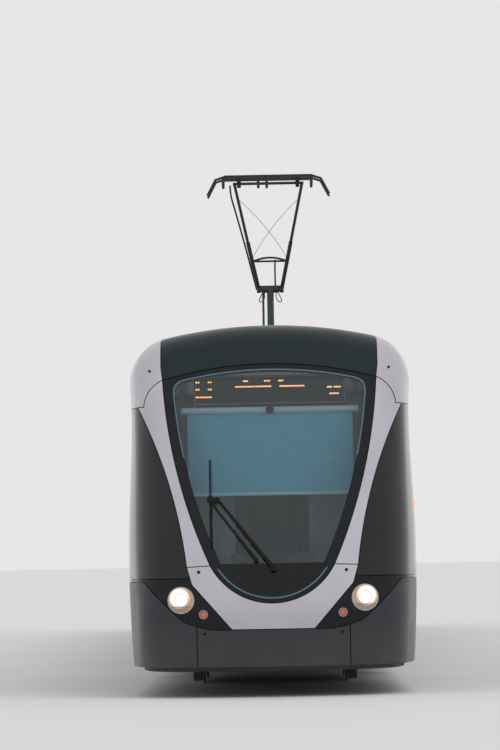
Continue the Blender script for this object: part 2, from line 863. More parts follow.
@contextmanager
def editing(piece: Piece, mode: str = "FACE") -> Iterator[bmesh.types.BMesh]:
    """Open a piece in edit mode with nothing selected.

    Args:
        piece: The piece to edit.
        mode: VERT, EDGE or FACE selection.

    Yields:
        The mesh that is being edited.
    """
    activate(piece)
    bpy.ops.object.mode_set(mode="EDIT")
    bpy.ops.mesh.select_mode(type=mode)
    bpy.ops.mesh.select_all(action="DESELECT")
    yield bmesh.from_edit_mesh(piece.data)
    bpy.ops.object.mode_set(mode="OBJECT")


@contextmanager
def whole(piece: Piece) -> Iterator[None]:
    """Open a piece in edit mode with all of it selected."""
    with editing(piece):
        bpy.ops.mesh.select_all(action="SELECT")
        yield


@contextmanager
def faces(piece: Piece, test: Test) -> Iterator[None]:
    """Open a piece in edit mode with the faces selected whose centre passes a test."""
    with editing(piece) as mesh:
        choose_faces(piece, mesh, test)
        yield


def choose_faces(piece: Piece, mesh: bmesh.types.BMesh, test: Test) -> None:
    """Select the faces whose centre passes a test, in a piece that is being edited."""
    for face in mesh.faces:
        face.select_set(test(face.calc_center_median()))
    mesh.select_flush_mode()
    bmesh.update_edit_mesh(piece.data)


def inset(width: float) -> None:
    """Inset what is selected."""
    bpy.ops.mesh.inset(thickness=width)


def push(x: float, y: float, z: float) -> None:
    """Extrude what is selected and move it."""
    bpy.ops.mesh.extrude_region_move(TRANSFORM_OT_translate={"value": (x, y, z)})


def swell(depth: float) -> None:
    """Extrude what is selected along its own normals."""
    bpy.ops.mesh.extrude_region_shrink_fatten(TRANSFORM_OT_shrink_fatten={"value": depth})


def shift(x: float, y: float, z: float) -> None:
    """Move what is selected."""
    bpy.ops.transform.translate(value=(x, y, z))


def scale(x: float, y: float, z: float, **about: Point) -> None:
    """Scale what is selected, about its own middle unless center_override is given."""
    bpy.ops.transform.resize(value=(x, y, z), **about)


def sliced(piece: Piece, places: Sequence[Point], normal: Point) -> Piece:
    """Cut a piece across at several places, and keep all of it.

    Args:
        piece: The piece to cut.
        places: A point of each cutting plane.
        normal: Direction square to the planes.

    Returns:
        The piece itself.
    """
    for place in places:
        with whole(piece):
            bpy.ops.mesh.bisect(plane_co=place, plane_no=normal)
    return piece


def apply_modifier(piece: Piece, kind: str, **settings: object) -> None:
    """Add a modifier with its settings and apply it.

    Args:
        piece: The piece to change.
        kind: Type of the modifier.
        **settings: Its properties.
    """
    activate(piece)
    modifier = piece.modifiers.new(kind.lower(), kind)
    for key, value in settings.items():
        setattr(modifier, key, value)
    bpy.ops.object.modifier_apply(modifier=modifier.name)


def repeat(piece: Piece, count: int, pitch: float, **settings: object) -> None:
    """Repeat a piece along the tram at a fixed distance."""
    apply_modifier(
        piece,
        "ARRAY",
        count=count,
        use_relative_offset=False,
        use_constant_offset=True,
        constant_offset_displace=(0, pitch, 0),
        **settings,
    )


def smooth(piece: Piece, angle: float = 40.0) -> Piece:
    """Shade a piece smooth up to an angle in degrees, and return it."""
    activate(piece)
    bpy.ops.object.shade_smooth_by_angle(angle=math.radians(angle))
    return piece


def soften(piece: Piece, width: float, segments: int = 3) -> Piece:
    """Round the sharp edges of a piece, shade it smooth and return it."""
    limit = math.radians(35)
    apply_modifier(piece, "BEVEL", width=width, segments=segments, limit_method="ANGLE", angle_limit=limit)
    return smooth(piece)


def join(pieces: Sequence[Piece], name: str) -> Piece:
    """Join several pieces, with their materials on, into one.

    Args:
        pieces: The pieces.
        name: Name of the joined piece.

    Returns:
        The joined piece.
    """
    select_none()
    for piece in pieces:
        piece.select_set(True)
    bpy.context.view_layer.objects.active = pieces[0]
    bpy.ops.object.join()
    pieces[0].name = name
    return pieces[0]


def copied(piece: Piece, name: str, place: Matrix) -> Piece:
    """Copy a piece with a mesh of its own.

    Args:
        piece: The piece to copy.
        name: Name of the copy.
        place: Where the copy goes, from where the piece is.

    Returns:
        The copy.
    """
    copy = piece.copy()
    copy.data = piece.data.copy()
    copy.name = name
    copy.data.transform(place)
    return link(copy)


def turned(piece: Piece, turn: Turn, name: str) -> Piece:
    """Copy a piece of the front to an end of the tram, about the tram's middle."""
    return copied(piece, name, Matrix.Rotation(turn.value, 4, "Z"))


def dress(piece: Piece, paint: Finish) -> None:
    """Give a finished piece its finish and the record's slot that it takes it from."""
    piece.data.materials.clear()
    piece.data.materials.append(paint.material())


def place_piece(piece: Piece, body: str, paint: Finish) -> None:
    """Dress a finished piece and let it ride on a body."""
    dress(piece, paint)
    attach(piece, body)
    LOG.info("piece %s rides on %s", piece.name, body)


def drop_patterns(*pieces: Piece) -> None:
    """Remove pieces that were only there to be copied."""
    for piece in pieces:
        bpy.data.objects.remove(piece, do_unlink=True)


def both_ends(pattern: Piece, name: str, body: str, paint: Finish, node: str = "") -> dict[Turn, Piece]:
    """Give both ends of the tram a copy of a piece, and drop the pattern.

    Args:
        pattern: The piece as it is at the front.
        name: Name of the copies, with {end} where the end's name goes.
        body: The body they ride on, cab or mid.
        paint: Their finish.
        node: Start of the name of the CAD node that they replace, if any.

    Returns:
        The copy at each end.
    """
    copies = {}
    for turn in Turn:
        copies[turn] = turned(pattern, turn, name.format(end=turn.end))
        place_piece(copies[turn], f"{turn.end}_{body}", paint)
        if node:
            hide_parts(f"{node}_{turn.end}")
    drop_patterns(pattern)
    return copies


def pad(name: str, low: Point, high: Point, crown: float, upright: bool = False) -> Piece:
    """Make a padded seat part, crowned on its broad side, with a sewn channel inside its border.

    Args:
        name: Name of the pad.
        low: Lowest corner.
        high: Highest corner.
        crown: How far its middle stands above its border.
        upright: Whether it is a back, crowned at its -Y face, and not a pan, crowned on top.

    Returns:
        The closed pad.
    """
    level = low[1] + crown if upright else high[2] - crown
    corners = ((low[0], level, low[2]), high) if upright else (low, (*high[:2], level))
    piece = start_block(name, *corners)
    with whole(piece):
        bpy.ops.mesh.bevel(offset=0.012, segments=2, affect="EDGES")
    with faces(piece, lambda c: c.y < level + 1e-4 if upright else c.z > level - 1e-4):
        # The border, the channel's wall and the crown: width of each ring, and how far it rises.
        for width, rise in ((0.030, -0.35), (0.010, 0.75), (0.050, 0.6)):
            inset(width)
            shift(*[rise * crown * part for part in ((0, -1, 0) if upright else (0, 0, 1))])
    apply_modifier(piece, "SUBSURF", levels=2, render_levels=2)
    return smooth(piece, 60)


class CadSkins:
    """Finishes on the CAD nodes that stay as they are."""


    def build(self) -> None:
        """Give each shown node its finish, by the start of its name."""
        table = {
            "mask": Paints.silver,
            "brow": Paints.brow,
            "apron": Paints.apron,
            "windscreen": Paints.screen,
            "lamp_covers": Paints.black_cover,
            "lamps": Paints.lamp,
            "lamps_rear": Paints.tail_lamp,
            "walls": Paints.body,
            "windows": Paints.tinted,
            "doors": Paints.body,
            "roof": Paints.roof,
            "underframe": Paints.steel,
            "bogie": Paints.bogie,
            "wheelset": Paints.wheel,
            "seats": Paints.seat,
            "cab_fittings": Paints.desk,
            "bellows": Paints.rubber,
            "wiper": Paints.wiper,
            "pantograph_frame": Paints.base_frame,
            "lower_arm": Paints.pantograph,
            "upper_arm": Paints.pantograph,
            "head": Paints.carbon,
        }
        for name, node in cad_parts.items():
            plain = name.removeprefix("mid_").removeprefix("centre_")
            paint = table[max((k for k in table if plain.startswith(k)), key=len)]
            for slot in node.material_slots:
                slot.material = paint.material()
            LOG.info("node %s dressed as %s", name, paint.name)


@dataclass
class Bellows:
    """Folded fabric bellows round each gangway, clamped to the ends of the sections.

    Attributes:
        half: Half width over the folds.
        top, foot: Highest and lowest height above the rail.
        round: Radius of the upper corners.
        length: Distance between the section ends.
        folds: Number of folds.
        depth: How far a fold stands out.
        cloth: Thickness of the fabric.
        clamp_width, clamp_depth: Size of the clamping frame's section.
        pivots: Distance of each pivot from the middle of the tram, and the section it leads to.
    """

    half: float = 1.226
    top: float = 2.946
    foot: float = 0.362
    round: float = 0.24
    length: float = 0.5494
    folds: int = 11
    depth: float = 0.034
    cloth: float = 0.004
    clamp_width: float = 0.016
    clamp_depth: float = 0.036
    pivots: tuple[tuple[float, str], ...] = ((8.625, "cab"), (2.275, "centre"))

    def hoop(self, name: str, low: float, width: float, drop: float) -> Piece:
        """Make one inverted U band across the gangway.

        Args:
            name: Name of the band.
            low: Where it starts along the tram.
            width: Its width along the tram.
            drop: How far it lies inside the outer size.

        Returns:
            The open band, without thickness.
        """
        half = self.half - drop
        under = up(self.top) - drop - 0.01
        band = start_block(name, (-half, low, up(self.foot)), (half, low + width, up(self.top - drop)))
        with faces(band, lambda c: abs(c.x) < 0.5 and c.z < under):
            bpy.ops.mesh.delete(type="FACE")
        with editing(band, "EDGE") as mesh:
            for edge in mesh.edges:
                a, b = edge.verts
                along = abs(a.co.y - b.co.y) > width / 2
                edge.select_set(along and min(a.co.z, b.co.z) > under)
            bmesh.update_edit_mesh(band.data)
            bpy.ops.mesh.bevel(offset=self.round - drop, offset_type="OFFSET", segments=8, affect="EDGES")
        return band

    def folded(self, name: str, pivot: float) -> Piece:
        """Make the folded skin about one pivot."""
        pitch = self.length / self.folds
        start = -pivot - self.length / 2
        skin = sliced(self.hoop(name, start, pitch, self.depth), [(0, start + pitch / 2, 0)], (0, 1, 0))
        with editing(skin, "VERT") as mesh:
            for vert in mesh.verts:
                vert.select_set(abs(vert.co.y - start - pitch / 2) < pitch / 10)
            bmesh.update_edit_mesh(skin.data)
            bpy.ops.transform.shrink_fatten(value=self.depth)
        repeat(skin, self.folds, pitch, use_merge_vertices=True, merge_threshold=0.001)
        apply_modifier(skin, "SUBSURF", levels=1, render_levels=1)
        apply_modifier(skin, "SOLIDIFY", thickness=self.cloth, offset=-1.0)
        return smooth(skin, 60)

    def clamp(self, name: str, low: float) -> Piece:
        """Make the metal frame that clamps an edge of the bellows."""
        band = self.hoop(name, low, self.clamp_width, 0.002)
        apply_modifier(band, "SOLIDIFY", thickness=self.clamp_depth, offset=-1.0)
        return soften(band, 0.003, 2)

    def build(self) -> None:
        """Make both bellows of each half, with their clamps."""
        reach = self.length / 2
        for pivot, other in self.pivots:
            skin = self.folded("bellows_pattern", pivot)
            outer = self.clamp("clamp_pattern", -pivot - reach)
            inner = self.clamp("clamp_pattern_inner", -pivot + reach - self.clamp_width)
            for turn in Turn:
                mid = f"{turn.end}_mid"
                near, far = (mid, f"{turn.end}_cab") if other == "cab" else ("centre", mid)
                fabric = turned(skin, turn, f"bellows_skin_{turn.end}_{other}")
                dress(fabric, Paints.rubber)
                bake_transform(fabric)
                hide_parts(f"bellows_{turn.end}")
                for band, body in ((outer, far), (inner, near)):
                    copy = turned(band, turn, f"bellows_clamp_{turn.end}_{other}_{body}")
                    place_piece(copy, body, Paints.trim)
            drop_patterns(skin, outer, inner)


@dataclass
class CabRoom:
    """Driver's desk and seat, destination display, roller blind and partition door.

    Attributes:
        desk_top: Height of the desk.
        desk_rear: Distance of its near edge behind the tip of the nose.
        floor: Height of the cab's floor above the rail.
        blind_half: Half width of the blind.
        blind_foot, roller_height: Where the blind ends and where its roller lies.
        foot_rings, foot_pitch: Number of steps of the seat's ribbed foot, and the height of one.
        bars: Start, end and height above the rail of each row of lit dots.
    """

    desk_top: float = up(1.05)
    desk_rear: float = 1.0
    floor: float = 0.352
    blind_half: float = 0.748
    blind_foot: float = up(1.79)
    roller_height: float = up(2.55)
    foot_rings: int = 8
    foot_pitch: float = 0.056
    bars: tuple[Point, ...] = (
        (-0.66, -0.64, 2.81),
        (-0.55, -0.53, 2.81),
        (-0.66, -0.64, 2.745),
        (-0.55, -0.53, 2.745),
        (-0.66, -0.53, 2.675),
        (-0.30, -0.15, 2.765),
        (-0.125, 0.01, 2.765),
        (0.10, 0.31, 2.765),
        (-0.23, -0.20, 2.815),
        (-0.04, 0.0, 2.815),
        (0.09, 0.12, 2.815),
        (0.53, 0.56, 2.75),
        (0.59, 0.64, 2.75),
        (0.55, 0.62, 2.69),
    )

    def fit(self, piece: Piece, name: str, paint: Finish, node: str = "") -> dict[Turn, Piece]:
        """Give both cabs a copy of a piece, in the cab's plastic slot."""
        return both_ends(piece, name + "_{end}", "cab", paint, node)

    def desk(self) -> None:
        """Moulded desk with a raised instrument hood, knee panel, screens and a drive handle."""
        top, rear = self.desk_top, at(self.desk_rear)
        board = start_block("desk", (-1.02, at(0.46), top - 0.05), (1.02, rear, top))
        with editing(board, "EDGE") as mesh:
            for edge in mesh.edges:
                a, b = edge.verts
                edge.select_set(abs(a.co.z - b.co.z) > 0.01 and a.co.y < at(0.6))
            bmesh.update_edit_mesh(board.data)
            bpy.ops.mesh.bevel(offset=0.3, segments=6, affect="EDGES")
        with faces(board, lambda c: c.z > top - 0.001):
            inset(0.05)
            shift(0, 0, -0.008)
        soften(board, 0.008)
        panel = start_block("knee_panel", (-0.7, at(self.desk_rear - 0.06), up(self.floor)), (0.7, rear, top - 0.05))
        with faces(panel, lambda c: c.y > rear - 0.001):
            inset(0.08)
            push(0, -0.02, 0)
        soften(panel, 0.006)
        hood = start_block("hood", (-0.42, at(0.58), top - 0.01), (0.42, at(0.74), top + 0.09))
        with faces(hood, lambda c: c.z > top + 0.08):
            scale(0.94, 0.45, 1, center_override=(0, at(0.6), 0))
        soften(hood, 0.012)
        self.fit(join([board, panel, hood], "desk"), "desk", Paints.desk, "cab_fittings")
        for number, x in enumerate((-0.22, 0.22)):
            screen = start_block("screen", (x - 0.15, at(0.70), top), (x + 0.15, at(0.735), top + 0.2))
            with faces(screen, lambda c: c.y > at(0.734)):
                inset(0.014)
                shift(0, -0.004, 0)
            self.fit(soften(screen, 0.004), f"desk_screen_{number}", Paints.black_cover)
        handle = start_tube("drive_handle", (-0.5, at(0.86), top - 0.01), (-0.5, at(0.86), top + 0.08), 0.012)
        with faces(handle, lambda c: c.z > top + 0.079):
            push(0, 0, 0.012)
            scale(2.2, 2.2, 1)
            push(0, 0, 0.03)
        self.fit(soften(handle, 0.005), "drive_handle", Paints.wiper)

    def display(self) -> None:
        """Destination display: case, light frame, dark screen and rows of amber dots."""
        low = (-0.688, at(0.866), up(2.602))
        high = (0.688, at(1.008), up(2.868))
        case = start_block("case", low, high)
        with faces(case, lambda c: c.y < low[1] + 0.001):
            inset(0.016)
            push(0, 0.012, 0)
        parts = [soften(case, 0.003, 2)]
        for x in (-0.669, 0.669):
            foot, head = (x - 0.018, at(0.94), high[2] - 0.01), (x + 0.018, at(1.0), high[2] + 0.2)
            parts.append(soften(start_block("hanger", foot, head), 0.004, 2))
        self.fit(join(parts, "case"), "display_case", Paints.shell, "cab_fittings")
        panel = start_block("panel", (-0.67, low[1] + 0.010, low[2] + 0.018), (0.67, low[1] + 0.018, high[2] - 0.018))
        self.fit(soften(panel, 0.002, 2), "display_panel", Paints.black_cover)
        dot = start_tube("dot", (0, low[1] + 0.006, 0), (0, low[1] + 0.011, 0), 0.0075, 8)
        with faces(dot, lambda c: c.y < low[1] + 0.0065):
            inset(0.002)
            shift(0, -0.002, 0)
        dots = []
        for start, end, height in self.bars:
            gaps = max(1, round((end - start) / 0.018))
            for number in range(gaps + 1):
                x = start + (end - start) * number / gaps
                dots.append(copied(dot, "dot", Matrix.Translation((x, 0, up(height)))))
        drop_patterns(dot)
        self.fit(join(dots, "dots"), "display_dots", Paints.amber)

    def blind(self) -> None:
        """Roller with its light cover and knob, and the blind that hangs from it."""
        half, foot, high = self.blind_half, self.blind_foot, self.roller_height
        bar = start_tube("bar", (-0.80, at(0.89), high), (0.80, at(0.89), high), 0.032, 32)
        with faces(bar, lambda c: abs(c.x) > 0.799):
            inset(0.008)
            swell(0.006)
        self.fit(soften(bar, 0.005), "blind_roller", Paints.pale_trim)
        knob = start_tube("knob", (0.0, at(0.835), high), (0.0, at(0.872), high), 0.036, 32)
        with faces(knob, lambda c: c.y < at(0.836)):
            inset(0.010)
            shift(0, 0.006, 0)
        self.fit(soften(knob, 0.003), "blind_knob", Paints.wiper)
        cloth = start_block("cloth", (-half, at(0.890), foot), (half, at(0.8912), high))
        with whole(cloth):
            bpy.ops.mesh.subdivide(number_cuts=10)
        with editing(cloth, "VERT") as mesh:
            for vert in mesh.verts:
                drop = (high - vert.co.z) / (high - foot)
                vert.co.y += 0.006 * drop * math.cos(vert.co.x / half * 2.4) ** 2
            bmesh.update_edit_mesh(cloth.data)
        smooth(cloth, 60)
        for turn, copy in self.fit(cloth, "blind", Paints.blind, "cab_fittings").items():
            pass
        rail = start_block("rail", (-half, at(0.886), foot - 0.014), (half, at(0.902), foot + 0.016))
        self.fit(soften(rail, 0.005), "blind_rail", Paints.pale_trim)

    def driver_seat(self) -> None:
        """Driver's seat: padded pan and back with bolsters, on a ribbed pedestal."""
        y = at(1.55)
        pan = pad("pan", (-0.238, y - 0.236, up(0.80)), (0.238, y + 0.236, up(0.882)), 0.012)
        back = pad("back", (-0.232, y + 0.245, up(0.88)), (0.232, y + 0.318, up(1.448)), 0.010, upright=True)
        seat = join([pan, back], "seat")
        copies = both_ends(seat, "driver_seat_pad_{end}", "cab", Paints.seat, "cab_fittings")
        floor, pitch = up(self.floor), self.foot_pitch
        foot = start_tube("foot", (0, y, floor), (0, y, up(0.80)), 0.10, 32)
        sliced(foot, [(0, 0, floor + cut * pitch) for cut in range(1, self.foot_rings)], (0, 0, 1))
        with editing(foot, "VERT") as mesh:
            for vert in mesh.verts:
                vert.select_set(round((vert.co.z - floor) / pitch) % 2 == 1)
            bmesh.update_edit_mesh(foot.data)
            scale(1.35, 1.35, 1, center_override=(0, y, 0))
        self.fit(soften(foot, 0.008), "driver_seat_foot", Paints.rubber)

    def partition(self) -> None:
        """Glazed door that closes the doorway behind the driver."""
        y = at(2.235)
        leaf = start_block("leaf", (-0.346, y, up(0.354)), (0.346, y + 0.03, up(2.396)))
        with faces(leaf, lambda c: abs(c.y - y - 0.015) > 0.01):
            inset(0.06)
            swell(-0.010)
        self.fit(soften(leaf, 0.003, 2), "partition_door", Paints.dark_panel)

    def build(self) -> None:
        """Make every piece of both cabs."""
        self.desk()
        self.display()
        self.blind()
        self.driver_seat()
        self.partition()


@dataclass
class Benches:
    """Passenger seats: moulded shells with upholstered pads, on both sides of the aisle.

    Attributes:
        outer: Half width at the wall.
        depth: Depth of a seat.
        rise: Height of the pan over the bench's foot.
        back: Height of the back over the pan.
        box_top, floor: Heights above the rail that the benches stand on.
        wide, narrow: Inner half width of a row with one seat a side, and with two.
        pattern: One bench of each kind, by its inner half width and its seats side by side.
    """

    outer: float = 1.186
    depth: float = 0.46
    rise: float = 0.45
    back: float = 0.65
    box_top: float = 0.68
    floor: float = 0.352
    wide: float = 0.582
    narrow: float = 0.332
    pattern: dict[tuple[float, int], tuple[Piece, Piece]] = field(default_factory=dict)

    def block(self, name: str, low: Point, high: Point, end: float, shrink: Point) -> Piece:
        """Make a soft block that is narrower at the height of one end."""
        piece = start_block(name, low, high)
        with faces(piece, lambda c: abs(c.z - end) < 0.001):
            scale(*shrink)
        return soften(piece, 0.012)

    def bench(self, inner: float, count: int) -> tuple[Piece, Piece]:
        """Make one bench against the wall on the +X side, its back towards +Y, its foot at height 0.

        Args:
            inner: Inner half width of the bench.
            count: Seats side by side.

        Returns:
            Pads, and the shell that carries them.
        """
        width = (self.outer - inner) / count
        front, rear = 0.01 - self.depth / 2, self.depth / 2
        rise, top = self.rise, self.rise + self.back
        pads, shells = [], []
        for number in range(count):
            low = inner + number * width + 0.012
            high = inner + (number + 1) * width - 0.012
            pads.append(pad("pan", (low, front, rise - 0.045), (high, rear - 0.02, rise - 0.004), 0.006))
            foot, head = (low, rear + 0.004, rise + 0.03), (high, rear + 0.042, top - 0.05)
            pads.append(pad("rest", foot, head, 0.006, upright=True))
            low, high = low - 0.008, high + 0.008
            foot, head = (low, front - 0.006, rise - 0.075), (high, rear + 0.04, rise - 0.04)
            shells.append(self.block("shell", foot, head, rise - 0.075, (0.85, 0.8, 1)))
            foot, head = (low, rear + 0.034, rise - 0.07), (high, rear + 0.076, top - 0.002)
            shells.append(self.block("rest_shell", foot, head, top - 0.002, (0.86, 0.8, 1)))
        low, high = (inner + 0.12, -0.12, 0.0), (self.outer - 0.12, 0.12, rise - 0.07)
        shells.append(self.block("foot", low, high, 0.0, (0.9, 0.7, 1)))
        x, y = inner + 0.02, rear + 0.056
        shells.append(soften(start_tube("rail", (x, y, top - 0.06), (x, y, top - 0.004), 0.016), 0.004))
        return join(pads, "pads"), join(shells, "shells")

    def fill(self, node: str, body: str, rows: Sequence[Point], inner: float, count: int, turn: Turn) -> None:
        """Fill one node's rows with benches on both sides.

        Args:
            node: The CAD node that the benches replace.
            body: The body they ride on.
            rows: Place along the tram, side of the back, and height of the base above the rail.
            inner: Inner half width.
            count: Seats side by side.
            turn: The end of the tram.
        """
        key = (inner, count)
        if key not in self.pattern:
            self.pattern[key] = self.bench(inner, count)
        for bench, name, paint in zip(self.pattern[key], ("pads", "shells"), (Paints.seat, Paints.shell)):
            copies = []
            for y, back_side, base in rows:
                for side in (-1, 1):
                    place = Matrix.Translation((0, y, up(base)))
                    if side < 0:
                        place @= Matrix.Rotation(math.pi, 4, "Z")
                    facing = side * back_side
                    if facing < 0:
                        place @= Matrix.Scale(-1, 4, (0, 1, 0))
                    copies.append(copied(bench, name, place))
                    if facing < 0:
                        copies[-1].data.flip_normals()
            group = join(copies, f"{node}_{name}_pattern")
            piece = turned(group, turn, f"{node}_{name}")
            place_piece(piece, body, paint)
            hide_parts(node)
            drop_patterns(group)

    def build(self) -> None:
        """Fill every section."""
        for turn in Turn:
            cab_rows = [(-11.75, -1, self.box_top), (-10.25, 1, self.box_top)]
            self.fill(f"seats_{turn.end}", f"{turn.end}_cab", cab_rows, self.wide, 1, turn)
            mid_rows = [(-6.3, 1, self.floor), (-4.6, -1, self.floor)]
            self.fill(f"mid_seats_{turn.end}", f"{turn.end}_mid", mid_rows, self.narrow, 2, turn)
        rows = [(-0.75, -1, self.box_top), (0.75, 1, self.box_top)]
        self.fill("centre_seats", "centre", rows, self.wide, 1, Turn.FRONT)
        for benches in self.pattern.values():
            drop_patterns(*benches)


@dataclass
class Pantograph:
    """Fittings that the bare arms carry: yoke, wires, control rod, brackets, springs and shunts.

    Attributes:
        knee, top: Places of the knee and of the head's pivot.
        knee_half, top_half: Half distance between the upper arm's tubes at the knee and at the head.
        bracket_x: Places of the brackets across the head.
        strip_y: Distance of each contact strip from the head's pivot.
        spring_x: Distance of each spring from the middle.
        spring_height: Height of the springs.
        spring_turns, spring_radius: Number of turns of a spring, and their radius.
        base: Height of the base frame's top.
    """

    knee: Point = (0.0, 0.9108, up(4.7621))
    top: Point = (0.0, -0.2602, up(6.0626))
    knee_half: float = 0.152
    top_half: float = 0.440
    bracket_x: tuple[float, ...] = (-0.585, -0.13, -0.02, 0.56)
    strip_y: float = 0.175
    spring_x: float = 0.30
    spring_height: float = up(3.46)
    spring_turns: int = 26
    spring_radius: float = 0.035
    base: float = up(3.388)

    def along(self, share: float, x_share: float, y: float = 0.0, z: float = 0.0) -> Vector:
        """Point on the upper arm.

        Args:
            share: How far up the arm, from 0 at the knee to 1 at the head.
            x_share: Place across the arm, from -1 at its left tube to 1 at its right one.
            y, z: Distance from there.
        """
        middle = Vector(self.knee).lerp(Vector(self.top), share)
        half = self.knee_half + (self.top_half - self.knee_half) * share
        return middle + Vector((x_share * half, y, z))

    def bent_tube(self, name: str, points: Sequence[Sequence[float]], radius: float) -> Piece:
        """Make a bent round rod of a radius through points."""
        data = bpy.data.curves.new(name, "CURVE")
        data.dimensions = "3D"
        data.bevel_depth = radius
        data.bevel_resolution = 3
        data.use_fill_caps = True
        spline = data.splines.new("NURBS")
        spline.points.add(len(points) - 1)
        for place, point in zip(points, spline.points):
            point.co = (*place, 1.0)
        spline.order_u = 3
        spline.use_endpoint_u = True
        spline.resolution_u = 8
        curve = link(bpy.data.objects.new(name, data))
        activate(curve)
        bpy.ops.object.convert(target="MESH")
        return smooth(curve, 50)

    def put(self, parts: Sequence[Piece], name: str, body: str, paint: Finish = Paints.pantograph) -> None:
        """Join parts and let them ride on a body of the pantograph."""
        place_piece(join(parts, name), body, paint)

    def upper_fittings(self) -> None:
        """Yoke at the knee, crossed wires, post and arched bar, and the head's control rod."""
        half, (_, y, z) = self.knee_half, self.knee
        yoke = start_block("yoke", (-half, y - 0.03, z - 0.04), (half, y + 0.03, z + 0.05))
        with faces(yoke, lambda c: c.z > z + 0.04):
            inset(0.018)
            push(0, 0, -0.03)
        with faces(yoke, lambda c: c.z < z - 0.03):
            scale(0.78, 1, 1)
        parts = [soften(yoke, 0.008)]
        arch = [self.along(0.27, x, z=0.05 * (1 - x * x)) for x in (-1, -0.6, -0.2, 0.2, 0.6, 1)]
        parts.append(self.bent_tube("arch", arch, 0.014))
        post = [self.along(*place) for place in ((0.04, 0.42), (0.15, 0.33), (0.28, 0.3))]
        parts.append(self.bent_tube("post", post, 0.011))
        for side in (-1, 1):
            wire = [self.along(0.29, side), self.along(0.6, 0), self.along(0.86, -side)]
            parts.append(self.bent_tube("wire", wire, 0.003))
        rod = (
            (0.02, -1.15, 0.05, -0.02),
            (0.40, -1.16, 0.05),
            (0.80, -1.19, 0.05),
            (0.90, -1.2, 0.05),
            (0.985, -1.14, 0.045),
        )
        parts.append(self.bent_tube("control_rod", [self.along(*place) for place in rod], 0.012))
        self.put(parts, "upper_arm_fittings", "upper_arm")

    def shunts(self) -> None:
        """Loops of braided copper at the knee."""
        loop = (
            (0.0, 0, -0.03),
            (0.03, 0.01, -0.10),
            (0.06, 0.0, -0.16),
            (0.0, -0.01, -0.17),
            (-0.03, 0, -0.10),
            (-0.02, 0, -0.04),
        )
        loops = []
        for side in (-1, 1):
            points = [Vector(self.knee) + Vector((side * (0.10 + x), y, z)) for x, y, z in loop]
            loops.append(self.bent_tube("shunt", points, 0.006))
        self.put(loops, "knee_shunts", "lower_arm", Paints.braid)

    def head_fittings(self) -> None:
        """Steel brackets on the head, and the trays that carry the contact strips."""
        parts = []
        _, middle, top = self.top
        strips = (middle - self.strip_y, middle + self.strip_y)
        for x in self.bracket_x:
            for y in strips:
                block = start_block("bracket", (x - 0.018, y - 0.012, top - 0.035), (x + 0.018, y + 0.012, top + 0.058))
                with faces(block, lambda c: c.z < top - 0.03):
                    inset(0.004)
                    push(0, 0, -0.012)
                parts.append(soften(block, 0.003, 2))
        for y in strips:
            tray = start_block("tray", (-0.57, y - 0.024, top + 0.050), (0.57, y + 0.024, top + 0.064))
            parts.append(soften(tray, 0.003, 2))
        self.put(parts, "head_brackets", "head")

    def base_fittings(self) -> None:
        """Tension springs with their ends and feet, and the damper with its mount."""
        parts = []
        height, radius, steps = self.spring_height, self.spring_radius, self.spring_turns * 4
        for side in (-1, 1):
            x = side * self.spring_x
            coil = []
            for step in range(steps + 1):
                angle = step * math.pi / 2
                place = (x + radius * math.cos(angle), -0.50 + 0.48 * step / steps, height + radius * math.sin(angle))
                coil.append(place)
            parts.append(self.bent_tube("spring", coil, 0.006))
            end = start_tube("spring_end", (x, -0.60, height), (x, -0.50, height), 0.012)
            with faces(end, lambda c: c.y > -0.501):
                push(0, 0.008, 0)
                scale(3.2, 1, 3.2)
                push(0, 0.012, 0)
            parts.append(soften(end, 0.002, 2))
            foot = start_block("spring_foot", (x - 0.02, -0.62, self.base), (x + 0.02, -0.585, height + 0.04))
            parts.append(soften(foot, 0.005, 2))
        damper = start_tube("damper", (0, -0.55, height - 0.02), (0, -0.12, height - 0.02), 0.032)
        with faces(damper, lambda c: c.y > -0.121):
            inset(0.018)
            push(0, 0.10, 0)
        parts.append(soften(damper, 0.004, 2))
        mount = start_block("damper_mount", (-0.03, -0.62, self.base), (0.03, -0.54, height))
        parts.append(soften(mount, 0.005, 2))
        self.put(parts, "pantograph_base_fittings", "centre")

    def build(self) -> None:
        """Make every fitting."""
        self.upper_fittings()
        self.shunts()
        self.head_fittings()
        self.base_fittings()


